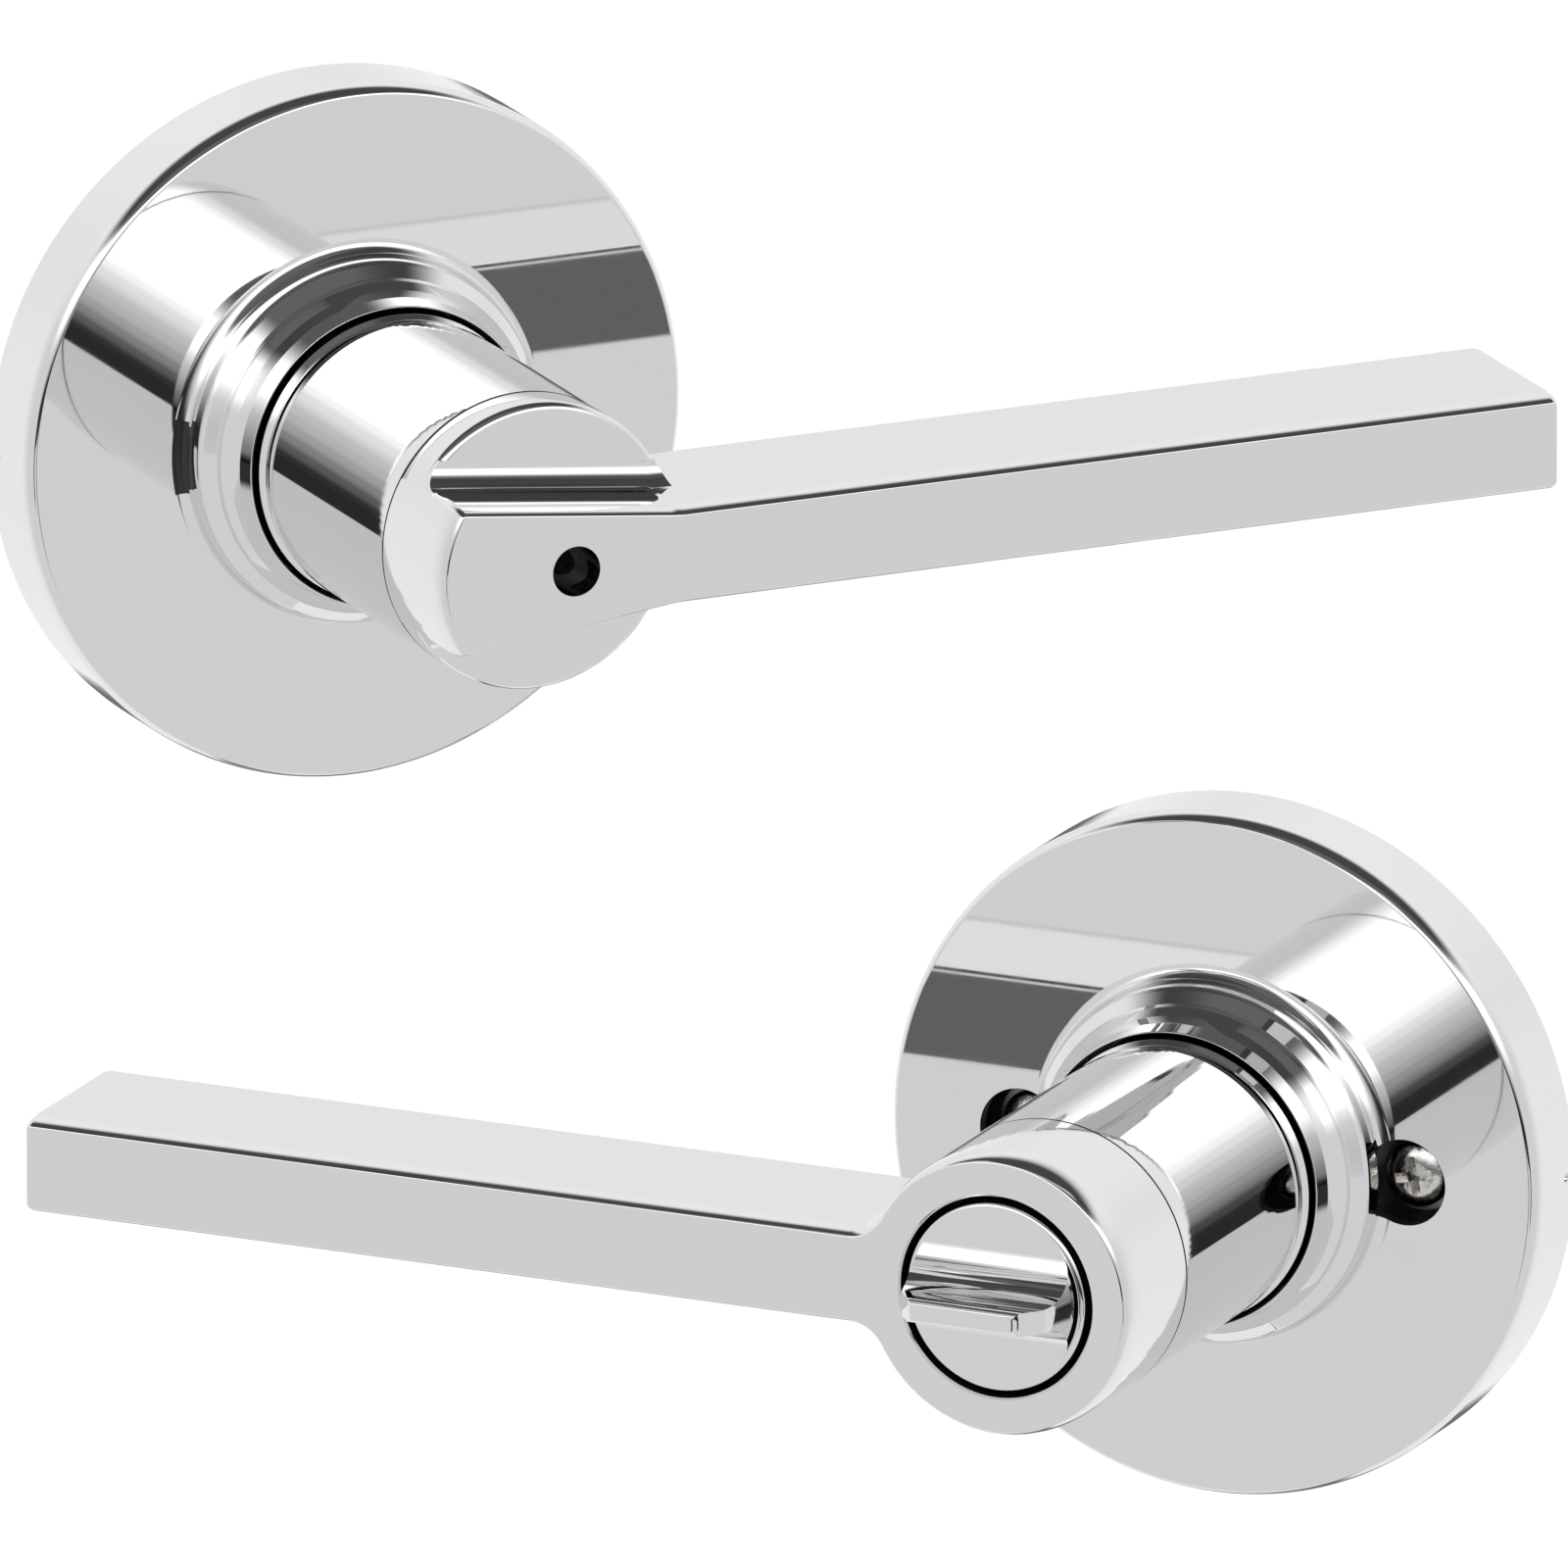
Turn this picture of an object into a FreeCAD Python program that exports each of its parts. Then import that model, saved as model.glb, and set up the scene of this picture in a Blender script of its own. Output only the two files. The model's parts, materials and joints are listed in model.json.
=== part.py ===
import FreeCAD, Part
import Sketcher
import math
import os

# Privacy lever set, laid out as two halves side by side.
# Each half is drawn in its own frame: X to the right of someone facing it, Y up, Z out from the door face.
# Placements then turn Z to the front and stand the second half beside, behind and below the first.

doc = FreeCAD.newDocument("lever_set")
sheet = doc.addObject("Spreadsheet::Sheet", "Sizes")

SIZES = (
    ("rose_radius", 33.35, "outer radius of the round rose"),
    ("rose_depth", 8.8, "door face to rose front"),
    ("rose_wall", 1.3, "thickness of the drawn rose"),
    ("rose_edge", 0.9, "rounding at the rose's front edge"),
    ("collar_radius", 17.6, "raised collar at its foot"),
    ("collar_cove", 1.3, "hollow curve where collar meets face"),
    ("collar_depth", 17.1, "door face to the collar's lip"),
    ("mouth_radius", 14.35, "opening in the collar"),
    ("neck_radius", 13.75, "outside of the neck tube"),
    ("seam_back", 13.0, "joint of neck and lever, behind the lever's front"),
    ("ledge_back", 8.7, "cut-back face of the outside head, behind the lever's front"),
    ("lever_depth", 58.2, "door face to the lever's front, the projection"),
    ("lever_reach", 100.6, "spindle axis to lever tip"),
    ("bar_half", 4.66, "half the height of the bar"),
    ("bar_thick", 18.0, "front to back of the bar"),
    ("tail_half", 7.3, "half the height of the bar at its tail"),
    ("flare_start", 10.5, "where the bar starts to widen to its tail"),
    ("edge_round", 0.8, "softened edges of the lever"),
    ("root_round", 3.6, "curve between bar and ring head"),
    ("pinhole_radius", 2.4, "release hole in the outside lever"),
    ("button_radius", 9.2, "turn button"),
    ("button_gap", 0.6, "space round the turn button"),
    ("floor_back", 8.0, "bottom of the button's pocket, behind the lever's front"),
    ("blade_half", 1.15, "half the thickness of the thumb blade"),
    ("blade_reach", 7.3, "half the length of the thumb blade near its front"),
    ("blade_stand", 7.5, "blade height above the lever's front"),
    ("blade_cove", 4.8, "hollow curve from the button's face up to the blade"),
    ("fixing_half", 19.8, "half the distance between the fixings"),
    ("access_radius", 4.2, "screw access hole in the inside rose"),
    ("screw_radius", 1.95, "through screw, M4"),
    ("screw_head_radius", 3.2, "pan head of the through screw"),
    ("screw_head_depth", 2.0, "height of the screw head"),
    ("screw_reach", 21.0, "screw length behind the door face"),
    ("post_radius", 3.0, "threaded post of the outside half"),
    ("post_reach", 20.0, "post length behind the door face"),
    ("plate_thick", 1.6, "mounting plate"),
    ("plate_gap", 0.25, "play between plate and rose"),
    ("boss_depth", 4.8, "door face to the seat under the screw head"),
    ("cage_radius", 13.9, "spring cage outside"),
    ("cage_wall", 0.8, "spring cage wall"),
    ("cage_depth", 10.4, "door face to the cage top"),
    ("hub_radius", 8.5, "drive tube outside"),
    ("hub_bore", 5.2, "drive tube bore"),
    ("hub_back", 13.8, "drive tube's front end, behind the lever's front"),
    ("hub_tail", 1.9, "drive tube behind the door face"),
    ("flange_radius", 12.6, "flange that bears on the cage"),
    ("spin_gap", 0.06, "radial running clearance"),
    ("spindle_width", 8.0, "square spindle across flats"),
    ("spindle_reach", 43.0, "spindle behind the door face"),
    ("spindle_bore", 2.2, "bore of the spindle"),
    ("spring_radius", 11.3, "return spring coil, to the wire's centre"),
    ("spring_wire", 0.7, "return spring wire radius"),
    ("spring_rise", 4.8, "return spring coil height"),
    ("spring_leg", 7.0, "straight upper leg of the return spring"),
    ("release_travel", 4.0, "push of the emergency release"),
    ("half_turn", 24.6, "half the angle between the two halves as laid out"),
    ("inside_across", 101.2, "inside half: shift along the row's X"),
    ("inside_behind", 11.3, "inside half: shift along the row's Y"),
    ("inside_above", -86.3, "inside half: shift along the row's Z"),
)
# Depths from the door face that follow the lever's front.
DERIVED = {
    "seam_depth": "(lever_depth - seam_back)",
    "ledge_depth": "(lever_depth - ledge_back)",
    "button_floor": "(lever_depth - floor_back)",
    "hub_end": "(lever_depth - hub_back)",
}
for row, (alias, value, meaning) in enumerate(SIZES, 1):
    sheet.set("A%d" % row, alias)
    sheet.set("B%d" % row, str(value))
    sheet.setAlias("B%d" % row, alias)
    sheet.set("C%d" % row, meaning)
doc.recompute()

OUTSIDE = "create(<<vector>>; 0; 0; 0); create(<<rotation>>; 0; 0; 90)"
INSIDE = ("create(<<vector>>; Sizes.inside_across; Sizes.inside_behind; Sizes.inside_above); "
          "create(<<rotation>>; -2 * Sizes.half_turn; 0; 90)")
HALVES = (("outside", OUTSIDE), ("inside", INSIDE))

made = []


def size(text):
    """Number behind an expression on the sheet; bare names are sheet aliases."""
    return float(sheet.evalExpression(named(text)))


def named(text):
    """Turn bare aliases into full references."""
    words = []
    word = ""
    for letter in str(text) + " ":
        if letter.isalnum() or letter in "_.":
            word += letter
            continue
        if word in DERIVED:
            word = named(DERIVED[word])
        if word and any(word == alias for alias, _, _ in SIZES):
            word = "Sizes." + word
        words.append(word + letter)
        word = ""
    return "".join(words).strip()


def keep(thing, label, layout):
    """Name a finished sub-part, set it in its place and list it for export."""
    thing.Label = label
    thing.setExpression("Placement", "create(<<placement>>; %s)" % layout)
    made.append(thing)
    return thing


def new_body():
    return doc.addObject("PartDesign::Body", "Work")


def plane(body, role):
    return [item for item in body.Origin.OriginFeatures if item.Role == role][0]


def sketch_on(body, role, lift="0"):
    """Sketch on one of the body's own planes, lifted along its normal."""
    sketch = body.newObject("Sketcher::SketchObject", "Outline")
    sketch.AttachmentSupport = [(plane(body, role), "")]
    sketch.MapMode = "FlatFace"
    sketch.setExpression("AttachmentOffset.Base.z", named(lift))
    return sketch


def pin_point(sketch, line, end, point):
    """Hold one end of a line at sheet-driven coordinates."""
    for kind, text in (("DistanceX", point[0]), ("DistanceY", point[1])):
        rule = Sketcher.Constraint(kind, -1, 1, line, end, size(text))
        index = sketch.addConstraint(rule)
        sketch.setExpression("Constraints[%d]" % index, named(text))


def outline(sketch, corners):
    """Closed outline. Each corner is (x, y) or (x, y, radius, side).

    A radius makes the run to the next corner an arc; side 1 bulges to the right of travel, -1 to the left.
    """
    count = len(corners)
    for index, corner in enumerate(corners):
        after = corners[(index + 1) % count]
        start = FreeCAD.Vector(size(corner[0]), size(corner[1]), 0)
        stop = FreeCAD.Vector(size(after[0]), size(after[1]), 0)
        if len(corner) == 2:
            sketch.addGeometry(Part.LineSegment(start, stop), False)
            continue
        radius = size(corner[2])
        chord = stop - start
        across = FreeCAD.Vector(chord.y, -chord.x, 0).normalize() * corner[3]
        height = radius - (radius ** 2 - (chord.Length / 2) ** 2) ** 0.5
        middle = (start + stop) * 0.5 + across * height
        sketch.addGeometry(Part.Arc(start, middle, stop), False)
    ends = []
    for index, corner in enumerate(corners):
        turned = len(corner) > 2 and corner[3] < 0
        ends.append((2, 1) if turned else (1, 2))
    for index, corner in enumerate(corners):
        following = (index + 1) % count
        sketch.addConstraint(Sketcher.Constraint(
            "Coincident", index, ends[index][1], following, ends[following][0]))
        pin_point(sketch, index, ends[index][0], corner)
        if len(corner) > 2:
            radius = Sketcher.Constraint("Radius", index, size(corner[2]))
            number = sketch.addConstraint(radius)
            sketch.setExpression("Constraints[%d]" % number, named(corner[2]))
    doc.recompute()


def round_holes(sketch, circles):
    """Circles given as (x, y, radius)."""
    for index, (across, up, radius) in enumerate(circles):
        centre = FreeCAD.Vector(size(across), size(up), 0)
        sketch.addGeometry(Part.Circle(centre, FreeCAD.Vector(0, 0, 1), size(radius)), False)
        pin_point(sketch, index, 3, (across, up))
        number = sketch.addConstraint(Sketcher.Constraint("Radius", index, size(radius)))
        sketch.setExpression("Constraints[%d]" % number, named(radius))
    doc.recompute()


def turned(body, corners, kind="Revolution"):
    """Turn an outline, given as (radius, depth), about the body's Z axis."""
    sketch = sketch_on(body, "XZ_Plane")
    outline(sketch, corners)
    feature = body.newObject("PartDesign::" + kind, kind)
    feature.Profile = sketch
    feature.ReferenceAxis = (sketch, ["V_Axis"])
    feature.Angle = 360
    doc.recompute()
    return feature


def pushed(body, sketch, length, kind="Pad", flip=False, midplane=False):
    """Pad or pocket by a sheet-driven length."""
    feature = body.newObject("PartDesign::" + kind, kind)
    feature.Profile = sketch
    feature.setExpression("Length", named(length))
    feature.Reversed = flip
    feature.Midplane = midplane
    doc.recompute()
    return feature


def round_edges(body, wanted, radius, needed=1):
    """Fillet the edges of the tip feature that pass a test."""
    base = body.Tip
    names = []
    for number, edge in enumerate(base.Shape.Edges, 1):
        if wanted(edge):
            names.append("Edge%d" % number)
    if len(names) < needed:
        raise ValueError("edges not found on " + body.Name)
    fillet = body.newObject("PartDesign::Fillet", "Fillet")
    fillet.Base = (base, names)
    fillet.setExpression("Radius", named(radius))
    doc.recompute()
    return fillet


def level(edge, depth):
    """True for an edge that lies in the plane Z = depth."""
    return abs(edge.BoundBox.ZMin - depth) < 1e-3 and abs(edge.BoundBox.ZMax - depth) < 1e-3


def furthest(edge):
    """Largest distance of an edge from the Z axis."""
    return max((point.x ** 2 + point.y ** 2) ** 0.5 for point in edge.discretize(9))


def nearest(edge):
    return min((point.x ** 2 + point.y ** 2) ** 0.5 for point in edge.discretize(9))


def rod(radius, start, length, across="0", up="0", inside=None):
    """Cylinder along Z, or a tube when an inside radius is given."""
    solid = doc.addObject("Part::Cylinder", "Rod")
    solid.setExpression("Radius", named(radius))
    solid.setExpression("Height", named(length))
    solid.setExpression("Placement.Base.x", named(across))
    solid.setExpression("Placement.Base.y", named(up))
    solid.setExpression("Placement.Base.z", named(start))
    doc.recompute()
    if inside is None:
        return solid
    bore = rod(inside, "(%s) - 1" % start, "(%s) + 2" % length, across, up)
    return less(solid, bore)


def block(widths, corner):
    """Box by its three widths and its low corner."""
    solid = doc.addObject("Part::Box", "Block")
    for key, text in zip(("Length", "Width", "Height"), widths):
        solid.setExpression(key, named(text))
    for key, text in zip("xyz", corner):
        solid.setExpression("Placement.Base." + key, named(text))
    doc.recompute()
    return solid


def less(base, tool):
    cut = doc.addObject("Part::Cut", "Less")
    cut.Base = base
    cut.Tool = tool
    doc.recompute()
    return cut


def joined(things):
    fuse = doc.addObject("Part::MultiFuse", "Joined")
    fuse.Shapes = things
    fuse.Refine = True
    doc.recompute()
    return fuse


# Rose: one drawn shell with a stepped collar; the inside one has two screw access holes.
# The rim has a shallow snap-off notch with a centre dimple on the side away from the lever.
ROSE = (
    ("rose_radius", "0"),
    ("rose_radius", "rose_depth - rose_edge", "rose_edge", 1),
    ("rose_radius - rose_edge", "rose_depth"),
    ("collar_radius + collar_cove", "rose_depth", "collar_cove", -1),
    ("collar_radius", "rose_depth + collar_cove"),
    ("collar_radius - 0.35", "rose_depth + 3.0", "1.25", 1),
    ("collar_radius - 1.6", "rose_depth + 4.1"),
    ("collar_radius - 1.75", "rose_depth + 4.35"),
    ("collar_radius - 1.75", "rose_depth + 4.75", "0.9", 1),
    ("collar_radius - 2.35", "rose_depth + 5.5"),
    ("collar_radius - 2.75", "rose_depth + 6.4"),
    ("mouth_radius", "collar_depth"),
    ("mouth_radius", "rose_depth - rose_wall"),
    ("rose_radius - rose_wall", "rose_depth - rose_wall"),
    ("rose_radius - rose_wall", "0"),
)
for half, layout in HALVES:
    rose = new_body()
    turned(rose, ROSE)
    side = 1 if half == "inside" else -1
    notch = sketch_on(rose, "YZ_Plane", "%d * (rose_radius - 0.3)" % side)
    outline(notch, (("-4.2", "-1"), ("4.2", "-1"), ("4.2", "1.7"), ("3.6", "2.3"), ("-3.6", "2.3"), ("-4.2", "1.7")))
    before = rose.Shape.Volume
    cut = pushed(rose, notch, "2", "Pocket", flip=side > 0)
    if rose.Shape.Volume > before - 0.5:
        cut.Reversed = not cut.Reversed
        doc.recompute()
    if half == "inside":
        access = sketch_on(rose, "XY_Plane", "rose_depth + 1")
        round_holes(access, [("fixing_half", "0", "access_radius"), ("-fixing_half", "0", "access_radius")])
        before = rose.Shape.Volume
        cut = pushed(rose, access, "rose_wall + 2", "Pocket")
        if rose.Shape.Volume > before - 1:
            cut.Reversed = True
            doc.recompute()
    dimple = doc.addObject("Part::Sphere", "Dimple")
    dimple.Radius = 0.45
    dimple.setExpression("Placement.Base.x", named("%d * (rose_radius - 0.25)" % side))
    dimple.Placement.Base.z = 1.2
    doc.recompute()
    keep(less(rose, dimple), half + "_rose", layout)

# Mounting plate: dished steel disc the rose snaps over, bored for the drive tube.
PLATE = (
    ("hub_radius + spin_gap", "0"),
    ("rose_radius - rose_wall - plate_gap", "0"),
    ("rose_radius - rose_wall - plate_gap", "rose_depth - rose_wall - 1.6"),
    ("rose_radius - rose_wall - plate_gap - 1.2", "rose_depth - rose_wall - 1.6"),
    ("rose_radius - rose_wall - plate_gap - 1.2", "plate_thick"),
    ("hub_radius + spin_gap", "plate_thick"),
)
for half, layout in HALVES:
    plate = new_body()
    turned(plate, PLATE)
    drilled = sketch_on(plate, "XY_Plane", "plate_thick + 1")
    fixing = "screw_radius + 0.25" if half == "inside" else "post_radius - 0.5"
    holes = [("fixing_half", "0", fixing), ("-fixing_half", "0", fixing)]
    holes += [("0", "%d * 22" % turn, "2.0") for turn in (-1, 1)]
    round_holes(drilled, holes)
    before = plate.Shape.Volume
    cut = pushed(plate, drilled, "plate_thick + 2", "Pocket")
    if plate.Shape.Volume > before - 1:
        cut.Reversed = True
        doc.recompute()
    if half == "outside":
        keep(plate, "outside_mounting_plate", layout)
        continue
    bosses = []
    for turn in (-1, 1):
        bosses.append(rod("screw_head_radius + 0.6", "plate_thick", "boss_depth - plate_thick",
                          "%d * fixing_half" % turn, "0", "screw_radius + 0.25"))
    keep(joined([plate] + bosses), "inside_mounting_plate", layout)

# Posts of the outside half: riveted through the plate, threaded to take the screws.
posts = []
for turn in (-1, 1):
    across = "%d * fixing_half" % turn
    shank = rod("post_radius", "-post_reach", "post_reach", across)
    tenon = rod("post_radius - 0.55", "0", "plate_thick", across)
    rivet = rod("post_radius + 0.9", "plate_thick", "0.9", across)
    thread = rod("screw_radius - 0.3", "-post_reach - 1", "post_reach - 1.5", across)
    posts.append(less(joined([shank, tenon, rivet]), thread))
pair = doc.addObject("Part::Compound", "Posts")
pair.Links = posts
keep(pair, "outside_threaded_posts", OUTSIDE)

# Through screws of the inside half: cross-recessed pan heads sunk behind the rose.
screws = []
for turn in (-1, 1):
    across = "%d * fixing_half" % turn
    head = rod("screw_head_radius", "boss_depth", "screw_head_depth", across)
    doc.recompute()
    crown = doc.addObject("Part::Fillet", "Crown")
    crown.Base = head
    top = size("boss_depth + screw_head_depth")
    rims = [n for n, edge in enumerate(head.Shape.Edges, 1) if level(edge, top)]
    crown.Edges = [(rims[0], 0.9, 0.9)]
    shank = rod("screw_radius", "-screw_reach", "screw_reach + boss_depth", across)
    cross = [
        block(("3.0", "0.75", "1.5"), (across + " - 1.5", "-0.375", "boss_depth + screw_head_depth - 1.2")),
        block(("0.75", "3.0", "1.5"), (across + " - 0.375", "-1.5", "boss_depth + screw_head_depth - 1.2")),
    ]
    doc.recompute()
    screws.append(less(joined([crown, shank]), joined(cross)))
pair = doc.addObject("Part::Compound", "Screws")
pair.Links = screws
keep(pair, "inside_through_screws", INSIDE)

# Spring cage: cup over the return spring, with a slot for the spring's fixed leg and a lug slot.
CAGE = (
    ("cage_radius", "plate_thick"),
    ("cage_radius", "cage_depth"),
    ("hub_radius + spin_gap", "cage_depth"),
    ("hub_radius + spin_gap", "cage_depth - cage_wall"),
    ("cage_radius - cage_wall", "cage_depth - cage_wall"),
    ("cage_radius - cage_wall", "plate_thick"),
)
for half, layout in HALVES:
    cage = new_body()
    turned(cage, CAGE)
    window = block(("4", "5.2", "2.6"), ("cage_radius - 2.4", "-3.6", "cage_depth - cage_wall - 2.6"))
    keep(less(cage, window), half + "_spring_cage", layout)

# Driver: stamped washer on the drive tube whose lug winds the return spring.
for half, layout in HALVES:
    disc = rod("cage_radius - cage_wall - 0.5", "plate_thick + 0.3", "1.0", "0", "0", "hub_radius + 0.05")
    lug = block(("1.9", "2.0", "2.2"), ("-cage_radius + cage_wall + 0.7", "1.1", "plate_thick + 1.0"))
    keep(joined([disc, lug]), half + "_spring_driver", layout)

# Return spring: one wire, wound round the drive tube. Its lower end abuts the driver's lug and its
# upper leg runs out straight into the cage's window.
for half, layout in HALVES:
    coil_radius = sheet.get("spring_radius")
    wire_radius = sheet.get("spring_wire")
    rise = sheet.get("spring_rise")
    leg = sheet.get("spring_leg")
    low = sheet.get("plate_thick") + 1.3 + wire_radius + 0.3
    turns = 2.5 - math.atan(leg / coil_radius) / (2 * math.pi)
    helix = Part.makeHelix(rise / turns, rise, coil_radius)
    helix.rotate(FreeCAD.Vector(0, 0, 0), FreeCAD.Vector(0, 0, 1), 180)
    helix.translate(FreeCAD.Vector(0, 0, low))
    first, last = helix.Edges[0], helix.Edges[-1]
    start = first.valueAt(first.FirstParameter)
    stop = last.valueAt(last.LastParameter)
    lead_in = first.tangentAt(first.FirstParameter)
    run_out = last.tangentAt(last.LastParameter)
    heel = start - lead_in * 0.9
    path = Part.Wire([Part.makeLine(heel, start)] + helix.Edges + [Part.makeLine(stop, stop + run_out * leg)])
    ring = Part.Wire(Part.makeCircle(wire_radius, heel, lead_in))
    spring = doc.addObject("Part::Feature", "Spring")
    spring.Shape = path.makePipeShell([ring], True, True)
    keep(spring, half + "_return_spring", layout)

# Drive tube: turned steel, square socket for the spindle, flange that bears on the cage, ring groove.
HUB = (
    ("hub_bore", "9.5"),
    ("hub_bore", "hub_end"),
    ("hub_radius", "hub_end"),
    ("hub_radius", "cage_depth + 1.55"),
    ("flange_radius", "cage_depth + 1.55"),
    ("flange_radius", "cage_depth + 0.6"),
    ("hub_radius", "cage_depth + 0.6"),
    ("hub_radius", "-0.15"),
    ("hub_radius - 0.8", "-0.15"),
    ("hub_radius - 0.8", "-1.15"),
    ("hub_radius", "-1.15"),
    ("hub_radius", "-hub_tail"),
    ("0", "-hub_tail"),
    ("0", "9.5"),
)
for half, layout in HALVES:
    hub = new_body()
    turned(hub, HUB)
    socket = block(("spindle_width + 0.1",) * 2 + ("hub_tail + 12",),
                   ("-spindle_width / 2 - 0.05",) * 2 + ("-hub_tail - 1",))
    keep(less(hub, socket), half + "_drive_tube", layout)

# Bearing washer between the cage top and the drive tube's flange.
for half, layout in HALVES:
    washer = rod("flange_radius - 0.3", "cage_depth + 0.06", "0.48", "0", "0", "hub_radius + 0.1")
    keep(washer, half + "_bearing_washer", layout)

# Retaining ring: open ring in the drive tube's groove, behind the plate.
for half, layout in HALVES:
    ring = rod("hub_radius + 1.7", "-1.05", "0.8", "0", "0", "hub_radius - 0.75")
    mouth = block(("4.4", "12", "2"), ("-2.2", "-14", "-2"))
    keep(less(ring, mouth), half + "_retaining_ring", layout)

# Neck: plated tube that fills the collar's mouth and reaches the lever head.
NECK = (
    ("hub_radius + 0.1", "cage_depth + 1.7"),
    ("neck_radius + 0.1", "cage_depth + 1.7"),
    ("neck_radius + 0.1", "collar_depth + 0.35"),
    ("neck_radius - 0.35", "collar_depth + 0.9"),
    ("neck_radius - 0.35", "collar_depth + 1.7", "2.6", -1),
    ("neck_radius", "collar_depth + 3.1"),
    ("neck_radius", "seam_depth"),
    ("neck_radius - 1.85", "seam_depth"),
    ("neck_radius - 1.85", "cage_depth + 4.8"),
    ("hub_radius + 0.1", "cage_depth + 4.8"),
)
SET_SCREW_DEPTH = "seam_depth - 6.2"
for half, layout in HALVES:
    neck = new_body()
    turned(neck, NECK)
    tapping = sketch_on(neck, "XZ_Plane")
    round_holes(tapping, [("0", SET_SCREW_DEPTH, "2.1")])
    cut = pushed(neck, tapping, "neck_radius + 1", "Pocket")
    low_wall = FreeCAD.Vector(0, -size("neck_radius - 0.9"), size(SET_SCREW_DEPTH))
    if neck.Shape.isInside(low_wall, 1e-3, True):
        cut.Reversed = True
        doc.recompute()
    keep(neck, half + "_neck", layout)

# Lever: cast head and bar in one, with a spigot that fills the neck and keys to the drive tube.
SPIGOT = "neck_radius - 1.95"
SPIGOT_FOOT = "seam_depth - 12.2"
BORE = (
    ("0", SPIGOT_FOOT + " - 1"),
    ("hub_radius + 0.05", SPIGOT_FOOT + " - 1"),
    ("hub_radius + 0.05", "seam_depth + 1.8"),
)
CLEAR = (
    (SPIGOT, SPIGOT_FOOT + " - 1"),
    ("neck_radius + 0.35", SPIGOT_FOOT + " - 1"),
    ("neck_radius + 0.35", "seam_depth"),
    (SPIGOT, "seam_depth"),
)


def lever(body, head_top, bar, hole):
    """Head and spigot, then the bar, then the neck's clearance and the bore."""
    turned(body, (
        ("0", SPIGOT_FOOT),
        (SPIGOT, SPIGOT_FOOT),
        (SPIGOT, "seam_depth"),
        ("neck_radius", "seam_depth"),
    ) + head_top)
    shape = sketch_on(body, "XY_Plane", "lever_depth - bar_thick")
    outline(shape, bar)
    pushed(body, shape, "bar_thick")
    turned(body, CLEAR, "Groove")
    tapping = sketch_on(body, "XZ_Plane")
    round_holes(tapping, [("0", SET_SCREW_DEPTH, "2.0")])
    cut = pushed(body, tapping, "neck_radius + 1", "Pocket")
    low_wall = FreeCAD.Vector(0, -size("neck_radius - 2.6"), size(SET_SCREW_DEPTH))
    if body.Shape.isInside(low_wall, 1e-3, True):
        cut.Reversed = True
        doc.recompute()
    turned(body, BORE + hole, "Groove")


front = size("lever_depth")
back = size("lever_depth - bar_thick")
reach = size("lever_reach")
radius = size("neck_radius")

tail = "-sqrt(neck_radius * neck_radius - tail_half * tail_half)"
outside = new_body()
lever(outside, (
    ("neck_radius", "ledge_depth - edge_round", "edge_round", 1),
    ("neck_radius - edge_round", "ledge_depth"),
    ("0", "ledge_depth"),
), (
    ("lever_reach", "-bar_half"),
    ("lever_reach", "bar_half"),
    ("flare_start + 3", "bar_half + 0.02"),
    ("flare_start", "bar_half + 0.12"),
    (tail, "tail_half", "neck_radius", 1),
    (tail, "-tail_half"),
    ("flare_start", "-bar_half - 0.12"),
    ("flare_start + 3", "-bar_half - 0.02"),
), (
    ("pinhole_radius", "seam_depth + 1.8"),
    ("pinhole_radius", "lever_depth + 1"),
    ("0", "lever_depth + 1"),
))
round_edges(outside, lambda e: nearest(e) > reach - 1 and e.BoundBox.ZLength > 10, "edge_round + 0.3", 2)
round_edges(outside, lambda e: level(e, front) and furthest(e) > 4, "edge_round", 6)
round_edges(outside, lambda e: level(e, back) and furthest(e) > reach - 3 and nearest(e) > 13.8, "0.5", 1)
keep(outside, "outside_lever", OUTSIDE)

root_x = "sqrt((neck_radius + root_round) ^ 2 - (bar_half + root_round) ^ 2)"
meet = "neck_radius / (neck_radius + root_round)"
inside = new_body()
lever(inside, (("neck_radius", "lever_depth"), ("0", "lever_depth")), (
    ("-lever_reach", "bar_half"),
    ("-lever_reach", "-bar_half"),
    ("-" + root_x, "-bar_half", "root_round", -1),
    ("-%s * %s" % (root_x, meet), "-(bar_half + root_round) * " + meet),
    ("0", "0"),
    ("-%s * %s" % (root_x, meet), "(bar_half + root_round) * " + meet, "root_round", -1),
    ("-" + root_x, "bar_half"),
), (
    ("2.6", "seam_depth + 1.8"),
    ("2.6", "button_floor"),
    ("button_radius + button_gap", "button_floor"),
    ("button_radius + button_gap", "lever_depth + 1"),
    ("0", "lever_depth + 1"),
))
round_edges(inside, lambda e: nearest(e) > reach - 1 and e.BoundBox.ZLength > 10, "edge_round + 0.3", 2)
round_edges(inside, lambda e: level(e, front) and furthest(e) > 11, "edge_round", 6)
pocket = size("button_radius + button_gap")
round_edges(inside, lambda e: level(e, front) and abs(furthest(e) - pocket) < 0.05, "0.25", 1)
round_edges(inside, lambda e: level(e, back) and furthest(e) > reach - 3 and nearest(e) > 13.8, "0.5", 1)
keep(inside, "inside_lever", INSIDE)

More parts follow.
